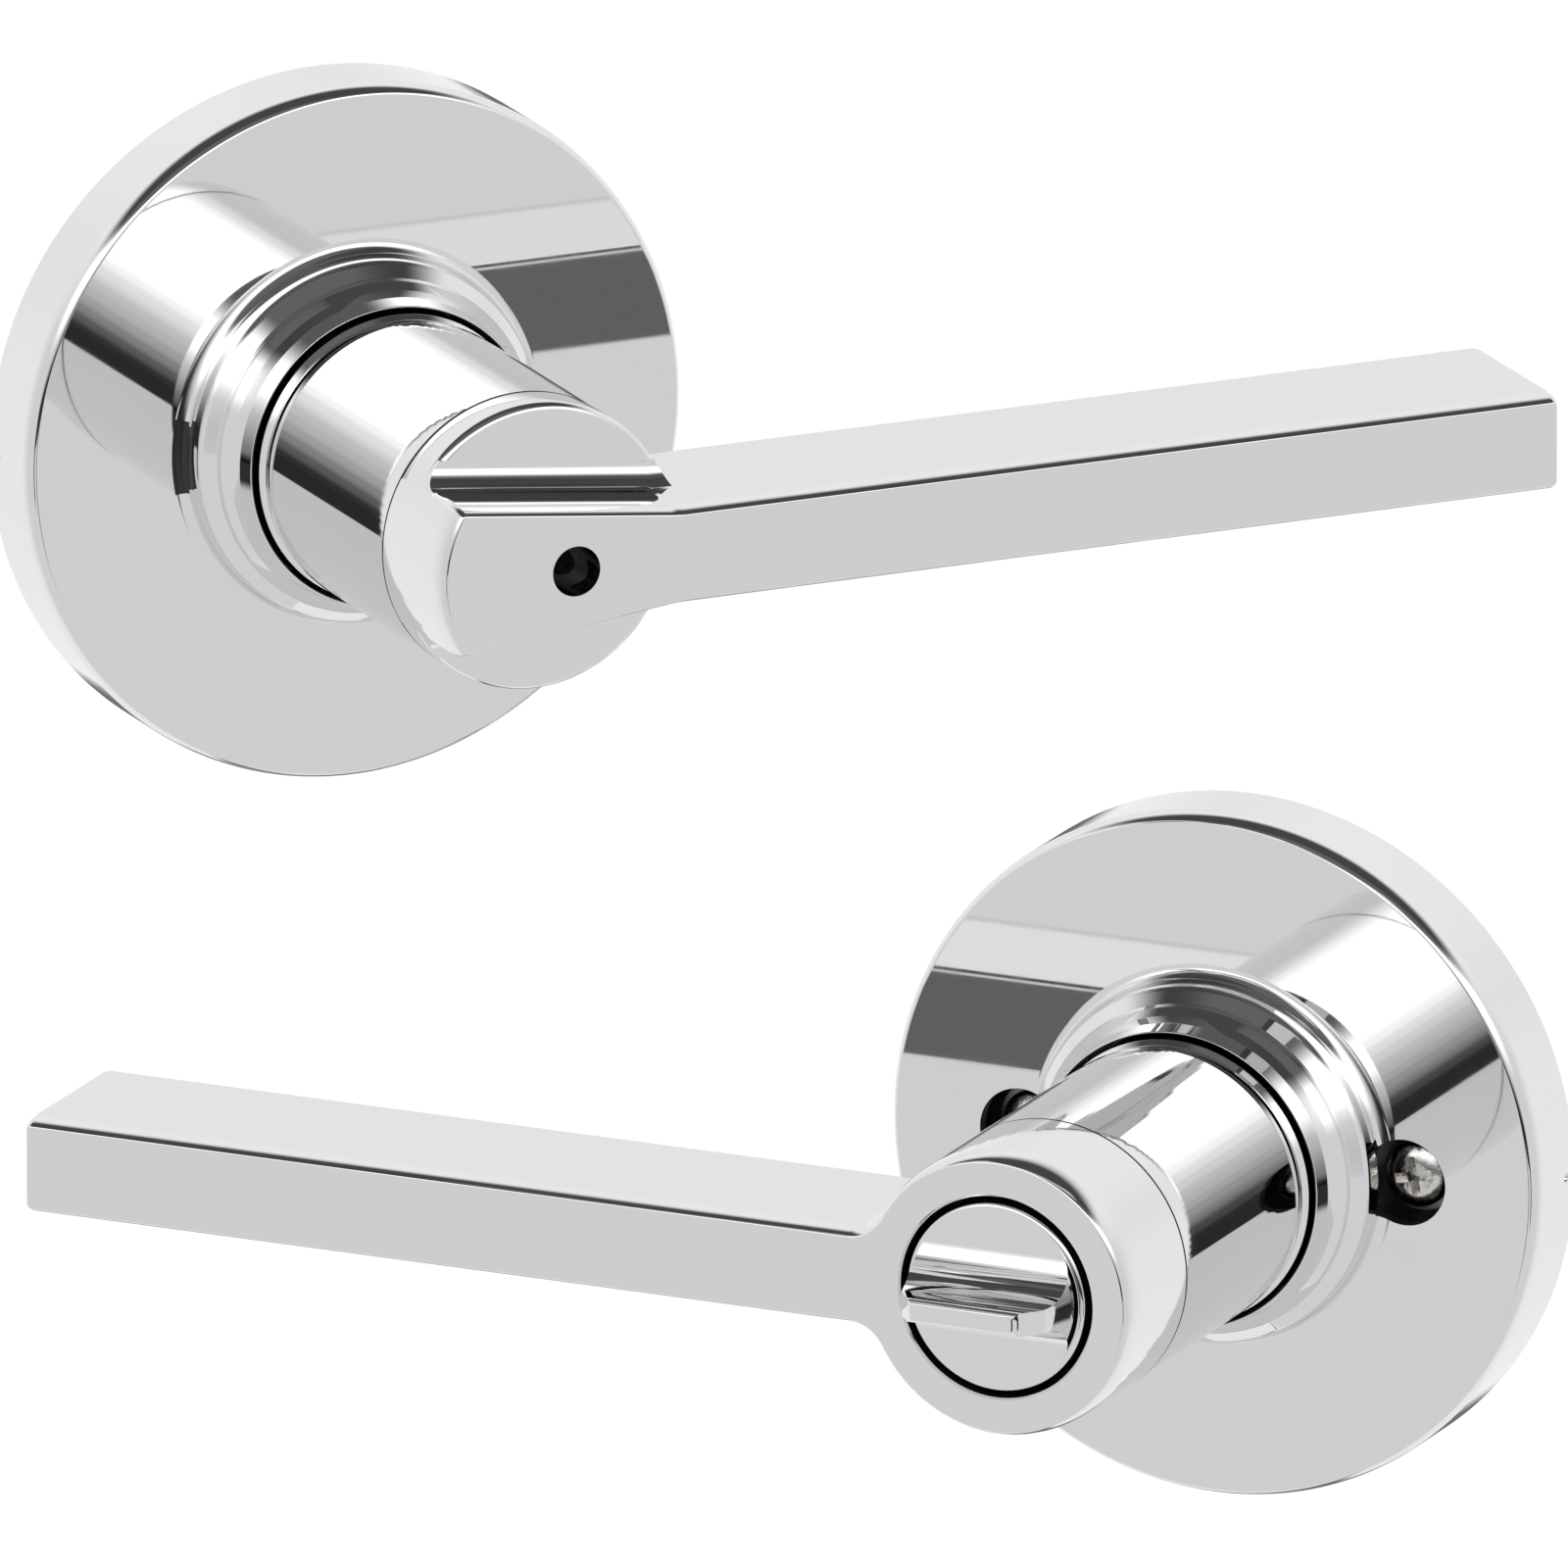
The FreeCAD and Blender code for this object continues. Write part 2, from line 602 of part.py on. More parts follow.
# Set screw: headless, through the neck's underside and the spigot, up to the drive tube.
for half, layout in HALVES:
    screw = new_body()
    end = sketch_on(screw, "XZ_Plane", "hub_radius + 0.3")
    round_holes(end, [("0", SET_SCREW_DEPTH, "1.94")])
    pushed(screw, end, "neck_radius - hub_radius - 0.9")
    if screw.Shape.BoundBox.YMax > 0:
        end.setExpression("AttachmentOffset.Base.z", named("-neck_radius + 0.6"))
        doc.recompute()
    key = sketch_on(screw, "XZ_Plane", "neck_radius")
    round_holes(key, [("0", SET_SCREW_DEPTH, "1.0")])
    before = screw.Shape.Volume
    cut = pushed(screw, key, "2.6", "Pocket")
    if screw.Shape.Volume > before - 0.5:
        cut.Reversed = True
        doc.recompute()
    keep(screw, half + "_set_screw", layout)

# Spindle: square steel tube that carries the turn through the latch.
bar = block(("spindle_width", "spindle_width", "spindle_reach + 9.3"),
            ("-spindle_width / 2", "-spindle_width / 2", "-spindle_reach"))
bore = rod("spindle_bore", "-spindle_reach - 1", "spindle_reach + 12")
keep(less(bar, bore), "outside_spindle", OUTSIDE)

# Spindle clip: push-on plate behind the drive tube.
clip = rod("spindle_width * 0.82", "-hub_tail - 1.1", "0.8")
square = block(("spindle_width + 0.06",) * 2 + ("3",), ("-spindle_width / 2 - 0.03",) * 2 + ("-hub_tail - 2",))
keep(less(clip, square), "outside_spindle_clip", OUTSIDE)

# Emergency release: rod behind the pinhole, its collar held up by a light spring against a stop ring.
# A full push sends its far end 1 mm out of the spindle.
shaft = rod("1.5", "release_travel - spindle_reach - 1", "seam_depth + spindle_reach - release_travel + 2.0")
collar = rod("4.4", "seam_depth - 7.2", "1.0")
keep(joined([shaft, collar]), "outside_release_rod", OUTSIDE)
stop = rod("hub_bore - 0.05", "seam_depth - 6.05", "0.9", "0", "0", "2.0")
keep(stop, "outside_release_stop", OUTSIDE)

wind_radius = 3.0
wind_wire = 0.3
low = 9.3 + wind_wire + 0.1
rise = size("seam_depth - 7.2") - 0.1 - wind_wire - low
helix = Part.makeHelix(rise / 11, rise, wind_radius)
helix.translate(FreeCAD.Vector(0, 0, low))
first = helix.Vertexes[0].Point
along = helix.Edges[0].tangentAt(helix.Edges[0].FirstParameter)
ring = Part.Wire(Part.makeCircle(wind_wire, first, along))
spring = doc.addObject("Part::Feature", "Spring")
spring.Shape = Part.Wire(helix.Edges).makePipeShell([ring], True, True)
keep(spring, "outside_release_spring", OUTSIDE)

# Turn button: turned disc, level with the lever, with a thumb blade left standing between two hollow curves.
button = new_body()
turned(button, (
    ("0", "button_floor + 1.0"),
    ("button_radius", "button_floor + 1.0"),
    ("button_radius", "lever_depth - 0.3"),
    ("button_radius - 0.3", "lever_depth"),
    ("blade_reach", "lever_depth + blade_stand - 1.9"),
    ("blade_reach - 1.6", "lever_depth + blade_stand"),
    ("0", "lever_depth + blade_stand"),
))
for turn in (-1, 1):
    scoop = sketch_on(button, "YZ_Plane")
    low_y = "%d * blade_half" % turn
    high_y = "%d * (button_radius + 1)" % turn
    outline(scoop, (
        (low_y, "lever_depth + blade_stand + 1"),
        (low_y, "lever_depth + blade_cove", "blade_cove", turn),
        ("%d * (blade_half + blade_cove)" % turn, "lever_depth"),
        (high_y, "lever_depth"),
        (high_y, "lever_depth + blade_stand + 1"),
    ))
    cut = pushed(button, scoop, "2 * button_radius + 4", "Pocket", midplane=True)
keep(button, "turn_button", INSIDE)

# Button shaft: round stub under the button and a flat tail that works the latch.
stub = rod("2.4", "12", "button_floor - 11.0")
tail_bar = block(("3.4", "1.6", "42.5"), ("-1.7", "-0.8", "-30"))
keep(joined([stub, tail_bar]), "turn_button_shaft", INSIDE)

# Button clip and wave washer: keep the button in its pocket and give it its drag.
keep(rod("4.6", "seam_depth + 0.7", "0.8", "0", "0", "2.45"), "turn_button_clip", INSIDE)
dish = new_body()
turned(dish, (
    ("3.4", "button_floor + 0.08"),
    ("7.6", "button_floor + 0.55"),
    ("7.6", "button_floor + 0.85"),
    ("3.4", "button_floor + 0.38"),
))
keep(dish, "turn_button_wave_washer", INSIDE)

doc.recompute()
os.makedirs("parts", exist_ok=True)
for thing in doc.Objects:
    if "Invalid" in thing.State or "Error" in thing.State:
        raise ValueError("object did not rebuild: " + thing.Name + " " + thing.Label)
for thing in made:
    if thing.Shape.isNull() or not thing.Shape.isValid():
        raise ValueError("bad shape: " + thing.Label)
for thing in made:
    thing.Shape.exportStep("parts/" + thing.Label + ".step")
print("sub-parts written:", len(made))
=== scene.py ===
import json
import math
import bmesh
import bpy
from mathutils import Matrix, Vector


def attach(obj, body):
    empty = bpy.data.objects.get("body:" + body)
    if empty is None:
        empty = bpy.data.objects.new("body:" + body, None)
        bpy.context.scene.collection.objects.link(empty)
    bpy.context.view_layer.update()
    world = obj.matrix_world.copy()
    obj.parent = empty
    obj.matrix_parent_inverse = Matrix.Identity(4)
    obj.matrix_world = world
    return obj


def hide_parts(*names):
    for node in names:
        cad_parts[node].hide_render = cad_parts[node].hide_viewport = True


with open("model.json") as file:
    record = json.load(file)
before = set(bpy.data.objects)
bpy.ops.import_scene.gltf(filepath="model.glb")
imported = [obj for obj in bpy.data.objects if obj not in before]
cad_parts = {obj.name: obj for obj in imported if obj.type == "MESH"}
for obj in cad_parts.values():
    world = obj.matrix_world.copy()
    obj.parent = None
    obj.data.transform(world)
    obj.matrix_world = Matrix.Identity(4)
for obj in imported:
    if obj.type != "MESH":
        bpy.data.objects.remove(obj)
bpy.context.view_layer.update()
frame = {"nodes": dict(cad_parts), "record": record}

# The studio: the two halves hang over a pale floor in an even white room. A soft light box hangs in front
# and above, and the dark opening that the camera looks in through stands below it. The chrome mirrors both.
VIEW_TURN = -24.6
VIEW_RISE = 16.7
LENS = 1500
SENSOR_WIDTH = 36
FRAME_WIDTH = 0.1459
ROW_ASIDE = 0.04336
ROW_BELOW = 0.03482
FLOOR_DROP = 0.9
FLOOR_SIZE = 60


def linear(code):
    """sRGB hex to the linear RGBA that sockets take."""
    parts = [int(code[i:i + 2], 16) / 255 for i in (1, 3, 5)]
    return [p / 12.92 if p <= 0.04045 else ((p + 0.055) / 1.055) ** 2.4 for p in parts] + [1]


def add(tree, kind, inputs=(), **settings):
    """One node with its settings, and its inputs as values or links."""
    node = tree.nodes.new("ShaderNode" + kind)
    for key, value in settings.items():
        setattr(node, key, value)
    for key, value in dict(inputs).items():
        if isinstance(value, bpy.types.NodeSocket):
            tree.links.new(value, node.inputs[key])
        else:
            node.inputs[key].default_value = value
    return node


def compass(turn, rise):
    """Direction from the object for a view's azimuth and elevation in degrees."""
    turn, rise = math.radians(turn), math.radians(rise)
    return Vector((math.sin(turn) * math.cos(rise), -math.cos(turn) * math.cos(rise), math.sin(rise)))


to_camera = compass(VIEW_TURN, VIEW_RISE)
across_view = Vector((-to_camera.y, to_camera.x, 0)).normalized()
up_view = to_camera.cross(across_view)
row_centre = across_view * ROW_ASIDE - up_view * ROW_BELOW

lens = bpy.data.cameras.new("camera")
lens.lens = LENS
lens.sensor_width = SENSOR_WIDTH
lens.clip_start = 0.1
camera = bpy.data.objects.new("camera", lens)
camera.location = row_centre + to_camera * (FRAME_WIDTH * LENS / SENSOR_WIDTH)
camera.rotation_euler = to_camera.to_track_quat("Z", "Y").to_euler()
bpy.context.collection.objects.link(camera)
bpy.context.scene.camera = camera
bpy.context.scene.view_settings.view_transform = "Standard"

room = bpy.data.worlds.new("room")
room.use_nodes = True
room.node_tree.nodes.clear()
tree = room.node_tree
way = add(tree, "TexCoord").outputs["Generated"]


def maths(operation, *values):
    """Arithmetic on the room's light; plain numbers and links both do."""
    return add(tree, "Math", dict(enumerate(values)), operation=operation).outputs[0]


def fade(value, start, stop, low=0.0, high=1.0):
    """Soft step between two angles in degrees."""
    inputs = {"Value": value, "From Min": math.radians(start), "From Max": math.radians(stop),
              "To Min": low, "To Max": high}
    return add(tree, "MapRange", inputs, interpolation_type="SMOOTHSTEP").outputs[0]


def towards(direction):
    """Cosine of the angle between a direction and the part of the room that is being lit."""
    return add(tree, "VectorMath", {0: way, 1: direction}, operation="DOT_PRODUCT").outputs["Value"]


along = towards(compass(VIEW_TURN, 0))
aside = towards(across_view)
turn = maths("ARCTAN2", maths("ABSOLUTE", aside), along)
rise = maths("ARCSINE", add(tree, "SeparateXYZ", {"Vector": way}).outputs["Z"])
behind = maths("ARCCOSINE", towards(-to_camera))
# Soft light box in front and above.
box_light = maths("MULTIPLY", fade(rise, 10.5, 30), fade(turn, 55, 90, 1.25, 0.1))
# Even walls, a little brighter low down to the sides and rear.
walls = maths("ADD", 0.76, maths("MULTIPLY", fade(turn, 85, 125, 0, 0.2), fade(rise, -2, 24, 1, 0.6)))
# Dark opening where the camera stands, sharp at its foot and soft at its top, between two dark stands.
opening = maths("MULTIPLY", maths("MULTIPLY", fade(turn, 24, 40, 1, 0), fade(rise, -12.2, -11.2)),
                fade(rise, -6, 14, 1, 0))
stands = maths("MULTIPLY", maths("MULTIPLY", fade(turn, 17, 22), fade(turn, 31, 36, 1, 0)),
               maths("MULTIPLY", fade(rise, -25, -20), fade(rise, -11, -6, 1, 0)))
# Unlit ceiling, and a dark backdrop straight behind the set that reaches down to the floor.
ceiling_dark = fade(rise, 33, 50)
backdrop = maths("MAXIMUM", fade(behind, 7, 14, 1, 0),
                 maths("MULTIPLY", fade(turn, 168, 174), fade(rise, -22, -17, 1, 0)))
light = maths("ADD", walls, box_light)
for shade, depth in ((opening, 0.96), (stands, 0.95), (ceiling_dark, 0.93), (backdrop, 0.82)):
    light = maths("MULTIPLY", light, maths("SUBTRACT", 1.0, maths("MULTIPLY", shade, depth)))
sky = add(tree, "Background", {"Color": linear("#FFFFFF"), "Strength": light}).outputs[0]
add(tree, "OutputWorld", {"Surface": sky})
bpy.context.scene.world = room

# High soft lamp for the floor; the chrome doesn't mirror it.
lamp = bpy.data.lights.new("ceiling_lamp", "SUN")
lamp.energy = 3.2
lamp.angle = math.radians(120)
ceiling = bpy.data.objects.new("ceiling_lamp", lamp)
ceiling.visible_glossy = False
bpy.context.collection.objects.link(ceiling)


def sheet(name, corners, finish):
    """A flat four-cornered piece of the studio."""
    mesh = bpy.data.meshes.new(name)
    mesh.from_pydata(corners, [], [(0, 1, 2, 3)])
    thing = bpy.data.objects.new(name, mesh)
    thing.data.materials.append(finish)
    bpy.context.collection.objects.link(thing)
    return thing


def finish_of(name):
    """An empty material and its tree."""
    material = bpy.data.materials.new(name)
    material.use_nodes = True
    material.node_tree.nodes.clear()
    return material, material.node_tree


def noise(tree, where, scale, detail):
    """Soft cloudy value that stays fixed to the piece."""
    return add(tree, "TexNoise", {"Vector": where, "Scale": scale, "Detail": detail}).outputs["Fac"]


def clouded(tree, cloud, light, dark):
    """Colour that drifts between two near shades."""
    colours = {"Fac": cloud, "Color1": linear(light), "Color2": linear(dark)}
    return add(tree, "MixRGB", colours).outputs[0]


def coat(tree, inputs):
    """The one surface of a material."""
    skin = add(tree, "BsdfPrincipled", inputs)
    add(tree, "OutputMaterial", {"Surface": skin.outputs[0]})


# Matt white floor paint, rolled on: pale all over, with a faint mottle.
painted, tree = finish_of("matt_white_paint")
where = add(tree, "TexCoord").outputs["Object"]
mottle = noise(tree, where, 3.0, 4.0)
coat(tree, {"Base Color": clouded(tree, mottle, "#D2D1D1", "#D6D5D5"),
            "Roughness": 0.9, "Specular IOR Level": 0.1})
floor = sheet("floor", [(x * FLOOR_SIZE, y * FLOOR_SIZE, -FLOOR_DROP)
                        for x, y in ((-1, -1), (1, -1), (1, 1), (-1, 1))], painted)
floor.visible_glossy = False

# Roses: round shells drawn from brass sheet with a stepped collar, chromium plated and polished.
# Each snaps over its mounting plate; the inside one has two holes for reaching the screws.
# The plating mirrors the room, with a faint unevenness from the buffing wheel.
# Sizes are in mm, out from the half's own axis and up from its door face.
MM = 0.001


def metal(name, shades, gloss, haze, cloud, marks, strength, height):
    """A metal whose shade drifts with the cloud, and whose gloss and surface follow its fine marks.

    cloud and marks are (scale, detail); gloss and haze are the least and most roughness.
    """
    material, tree = finish_of(name)
    where = add(tree, "TexCoord").outputs["Object"]
    drift, fine = noise(tree, where, *cloud), noise(tree, where, *marks)
    rough = add(tree, "MapRange", {"Value": fine, "From Min": 0.3, "From Max": 0.7,
                                   "To Min": gloss, "To Max": haze}).outputs[0]
    wave = add(tree, "Bump", {"Height": fine, "Strength": strength, "Distance": height * MM}).outputs[0]
    coat(tree, {"Base Color": clouded(tree, drift, *shades), "Roughness": rough, "Normal": wave,
                "Metallic": 1.0})
    return material


def chromium(name, light, dark, gloss, haze, ripple):
    """Polished chromium plate: bright mirror, with a buffed unevenness about 3 mm long."""
    return metal(name, (light, dark), gloss, haze, (90.0, 3.0), (320.0, 2.0), ripple, 0.02)


chrome = chromium("polished_chromium_plate", "#E9E9EA", "#E7E7E8", 0.025, 0.04, 0.004)


def rounded(corners, closed=False, step=6.0):
    """Points through corners given as (x, y) or (x, y, radius), with the radius as a smooth arc."""
    points = []
    count = len(corners)
    for index, corner in enumerate(corners):
        here = Vector(corner[:2])
        ends = not closed and index in (0, count - 1)
        if len(corner) == 2 or ends:
            points.append(here)
            continue
        before = (Vector(corners[index - 1][:2]) - here).normalized()
        after = (Vector(corners[(index + 1) % count][:2]) - here).normalized()
        turn = math.pi - before.angle(after)
        if turn < 1e-4:
            points.append(here)
            continue
        radius = corner[2]
        reach = radius * math.tan(turn / 2)
        start, stop = here + before * reach, here + after * reach
        middle = here + (before + after).normalized() * radius / math.cos(turn / 2)
        from_middle = start - middle
        swing = from_middle.angle_signed(stop - middle)
        pieces = max(2, int(abs(math.degrees(swing)) / step) + 1)
        for bit in range(pieces + 1):
            angle = -swing * bit / pieces
            c, s = math.cos(angle), math.sin(angle)
            points.append(middle + Vector((from_middle.x * c - from_middle.y * s,
                                           from_middle.x * s + from_middle.y * c)))
    return points


def lathe(profile, around=240):
    """Closed solid of revolution about Z from (radius, depth) points."""
    shell = bmesh.new()
    rings = []
    for radius, depth in profile:
        if radius < 1e-5:
            rings.append([shell.verts.new((0, 0, depth))])
            continue
        rings.append([shell.verts.new((radius * math.cos(a), radius * math.sin(a), depth))
                      for a in (2 * math.pi * i / around for i in range(around))])
    for ring, following in zip(rings, rings[1:] + rings[:1]):
        if len(ring) == 1 and len(following) == 1:
            continue
        for i in range(around):
            j = (i + 1) % around
            corners = [ring[i % len(ring)], ring[j % len(ring)],
                       following[j % len(following)], following[i % len(following)]]
            corners = list(dict.fromkeys(corners))
            shell.faces.new(corners)
    bmesh.ops.recalc_face_normals(shell, faces=shell.faces)
    return shell


def solid_object(shell, name):
    """An object made from a shell, which is used up."""
    mesh = bpy.data.meshes.new(name)
    shell.to_mesh(mesh)
    shell.free()
    thing = bpy.data.objects.new(name, mesh)
    bpy.context.collection.objects.link(thing)
    return thing


def worked(shell, name, steps):
    """Apply saws and joins, given as (operation, shell), to a shell and return the new mesh object."""
    thing = solid_object(shell, name)
    for operation, tool in steps:
        other = solid_object(tool, "tool")
        change = thing.modifiers.new("work", "BOOLEAN")
        change.operation = operation
        change.solver = "EXACT"
        change.object = other
        graph = bpy.context.evaluated_depsgraph_get()
        mesh = bpy.data.meshes.new_from_object(thing.evaluated_get(graph))
        thing.modifiers.clear()
        old = thing.data
        thing.data = mesh
        bpy.data.meshes.remove(old)
        mesh.name = name
        bpy.data.objects.remove(other)
    return thing


def facing_of(half):
    """Local frame of a half, in mm: X to the right of someone facing it, Y up, Z out from the door."""
    joint = [j for j in frame["record"]["behaviour"]["joints"] if j["name"] == half + "_lever_turn"][0]
    out = Vector(joint["axis"]).normalized()
    if half == "outside":
        out = -out
    up = Vector((0, 0, 1))
    right = up.cross(out)
    turned = Matrix((right, up, out)).transposed().to_4x4() @ Matrix.Scale(MM, 4)
    return Matrix.Translation(joint["pos_m"]) @ turned


def even_shading(mesh, crease):
    """Merge faces that lie in one plane, then shade flats dead flat and curves smooth up to them."""
    shell = bmesh.new()
    shell.from_mesh(mesh)
    bmesh.ops.dissolve_limit(shell, angle_limit=0.0015, verts=shell.verts, edges=shell.edges)
    shell.normal_update()
    limit = math.cos(math.radians(crease))
    areas = {face: face.calc_area() for face in shell.faces}
    corner_normals = {}
    for point in shell.verts:
        group = {face: face for face in point.link_faces}

        def head_of(face):
            while group[face] is not face:
                face = group[face]
            return face
        for edge in point.link_edges:
            pair = edge.link_faces
            if len(pair) == 2 and pair[0].normal.dot(pair[1].normal) > limit:
                group[head_of(pair[0])] = head_of(pair[1])
        fans = {}
        for face in point.link_faces:
            fans.setdefault(head_of(face), []).append(face)
        for fan in fans.values():
            fan.sort(key=lambda face: -areas[face])
            if len(fan) > 1 and areas[fan[0]] > 5 * areas[fan[-1]] and areas[fan[0]] > 3 * MM * MM:
                normal = fan[0].normal.copy()
            else:
                normal = Vector()
                for face in fan:
                    corner = [c for c in face.loops if c.vert is point][0]
                    normal += face.normal * corner.calc_angle()
                normal.normalize()
            for face in fan:
                corner_normals[face, point] = normal
    normals = [corner_normals[face, corner.vert] for face in shell.faces for corner in face.loops]
    shell.to_mesh(mesh)
    shell.free()
    mesh.shade_smooth()
    mesh.normals_split_custom_set(normals)


def shade_paint_for_holes():
    """Painted shade for deep holes and gaps: dark dull metal, so they read nearly black."""
    material, tree = finish_of("painted_shade_in_holes")
    where = add(tree, "TexCoord").outputs["Object"]
    # Near-black painted shade, with a faint mottle.
    shade_mottle = noise(tree, where, 700.0, 3.0)
    coat(tree, {"Base Color": clouded(tree, shade_mottle, "#1C1C1D", "#0E0E0F"), "Roughness": 0.28})
    return material


holes_shade = shade_paint_for_holes()


def fit(thing, half, finish, body, nodes, crease=32, dark=None):
    """Set a finished piece in its place, give it its finish and tie it to the frame.

    dark picks out, from radius and point in mm, the corners of faces that get the near-black painted shade of
    holes and gaps.
    """
    place = facing_of(half)
    thing.data.transform(place)
    even_shading(thing.data, crease)
    thing.data.materials.clear()
    thing.data.materials.append(finish)
    # Faces that dark picks out get the near-black painted shade in place of the plating.
    if dark:
        thing.data.materials.append(holes_shade)
        back = place.inverted()
        local = [back @ point.co for point in thing.data.vertices]
        shaded = [dark(math.hypot(point.x, point.y), point) for point in local]
        for face in thing.data.polygons:
            face.material_index = int(all(shaded[index] for index in face.vertices))
    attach(thing, body)
    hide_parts(*nodes)
    return thing


def prism(points, low, high):
    """Straight solid over a closed outline."""
    shell = bmesh.new()
    floor = [shell.verts.new((x, y, low)) for x, y in points]
    roof = [shell.verts.new((x, y, high)) for x, y in points]
    count = len(points)
    for i in range(count):
        j = (i + 1) % count
        shell.faces.new((floor[i], floor[j], roof[j], roof[i]))
    shell.faces.new(roof)
    shell.faces.new(floor[::-1])
    bmesh.ops.recalc_face_normals(shell, faces=shell.faces)
    return shell


def arc(x, y, radius, start, stop, step=3.0):
    """Points along an arc about (x, y), between two angles in degrees."""
    count = max(2, int(abs(stop - start) / step) + 1)
    angles = [math.radians(start + (stop - start) * i / count) for i in range(count + 1)]
    return [(x + radius * math.cos(a), y + radius * math.sin(a)) for a in angles]


def circle(x, y, radius, step):
    """Closed outline of a round hole, for prism."""
    return arc(x, y, radius, 0, 360 - step, step)


def buffed_edge(inset, drop, steps=15):
    """Elliptical edge from side to face, as (inset, drop) points at even turns of the surface."""
    points = []
    for i in range(steps + 1):
        lean = math.pi / 2 * (1 - i / steps)
        swing = math.atan2(drop * math.cos(lean), inset * math.sin(lean))
        points.append((inset * (1 - math.cos(swing)), drop * (1 - math.sin(swing))))
    return points


ROSE_RADIUS = 33.35
ROSE_FACE = 8.8
RIM_INSET = 0.85
RIM_DROP = 1.9
WALL_INSIDE = 32.05
FACE_BACK = 7.5
FIXING_REACH = 19.8
FIXING_HOLE = 4.2
NOTCH_HALF = 4.2
NOTCH_FLOOR = 33.05
DIMPLE = 0.45
rim = [(ROSE_RADIUS - inset, ROSE_FACE - drop) for inset, drop in buffed_edge(RIM_INSET, RIM_DROP)]
ROSE = rounded((
    (ROSE_RADIUS, 0), *rim, (17.6, ROSE_FACE, 1.3), (17.45, 11.7, 1.1), (16.1, 12.9, 0.25),
    (15.9, 13.4, 0.3), (15.3, 14.3, 0.4), (14.85, 15.3, 0.5), (14.45, 17.1, 0.12), (14.3, 17.0),
    (14.35, FACE_BACK), (WALL_INSIDE, FACE_BACK), (WALL_INSIDE, 0),
))


def rose_recess(r, p):
    """Where the painted shade goes: the collar's mouth, the back of the face and the screw holes."""
    mouth = r < 14.42 and p.z < 17.05
    back = p.z < 8.7 and r < 32.2
    return mouth or back or p.z < 9.85 and math.hypot(abs(p.x) - FIXING_REACH, p.y) < 4.25


for half, side in (("outside", -1), ("inside", 1)):
    notch = prism(((-NOTCH_HALF, -1), (NOTCH_HALF, -1), (NOTCH_HALF, 1.7), (3.6, 2.3),
                   (-3.6, 2.3), (-NOTCH_HALF, 1.7)), NOTCH_FLOOR, 35)
    notch.transform(Matrix(((0, 0, side, 0), (1, 0, 0, 0), (0, 1, 0, 0), (0, 0, 0, 1))))
    bmesh.ops.recalc_face_normals(notch, faces=notch.faces)
    dimple = bmesh.new()
    bmesh.ops.create_uvsphere(dimple, u_segments=24, v_segments=16, radius=DIMPLE,
                              matrix=Matrix.Translation((side * 33.1, 0, 1.2)))
    steps = [("DIFFERENCE", notch), ("DIFFERENCE", dimple)]
    if half == "inside":
        for hand in (-1, 1):
            hole = circle(hand * FIXING_REACH, 0, FIXING_HOLE, 4)
            steps.append(("DIFFERENCE", prism(hole, 5, 9.8)))
    rose = worked(lathe(ROSE, 288), half + "_rose_shell", steps)
    fit(rose, half, chrome, "fixed", [half + "_rose"], dark=rose_recess)

# Necks: plated brass tube that stands in the collar's mouth and turns with the lever.
# A bead and a groove at its foot, with the part in the collar's mouth painted near-black as shade, give the
# dark ring just above the collar.
NECK_RADIUS = 13.75
NECK_FOOT = 12.1
NECK_END = 45.1
TUBE_INSIDE = 11.9
TUBE_FLOOR = 15.2
TUBE_HOLE = 8.6
BEAD = 13.85
SCREW_DEPTH = 39.0
NECK = rounded((
    (TUBE_HOLE, NECK_FOOT), (BEAD, NECK_FOOT), (BEAD, 17.5, 0.12), (13.4, 18.0, 0.2), (13.42, 18.9, 0.7),
    (NECK_RADIUS, 20.2, 0.6), (NECK_RADIUS, NECK_END, 0.12), (TUBE_INSIDE, NECK_END),
    (TUBE_INSIDE, TUBE_FLOOR), (TUBE_HOLE, TUBE_FLOOR),
))


def set_screw_hole(radius, start, stop):
    """Round hole up through the underside of a half, between two distances from its axis."""
    hole = prism(circle(0, 0, radius, 10), start, stop)
    hole.transform(Matrix.Translation((0, 0, SCREW_DEPTH)) @ Matrix.Rotation(math.radians(90), 4, "X"))
    return hole


def neck_recess(r, p):
    """Where the painted shade goes: down in the collar's mouth, and the end that faces the lever's head."""
    return p.z < 17.3 or p.z > 44.9 and r < 13.8


for half in ("outside", "inside"):
    neck = worked(lathe(NECK, 288), half + "_neck_tube", [("DIFFERENCE", set_screw_hole(2.1, 10, 16))])
    fit(neck, half, chrome, half + "_handle", [half + "_neck"], dark=neck_recess)

# Levers: zinc die castings, linished flat, plated and polished. The outside head is cut back either side
# of the bar, with a small curve in the corner; the inside head is a plain ring flush with the bar.
lever_chrome = chromium("polished_chromium_on_casting", "#E8E8E9", "#E6E6E7", 0.03, 0.045, 0.004)


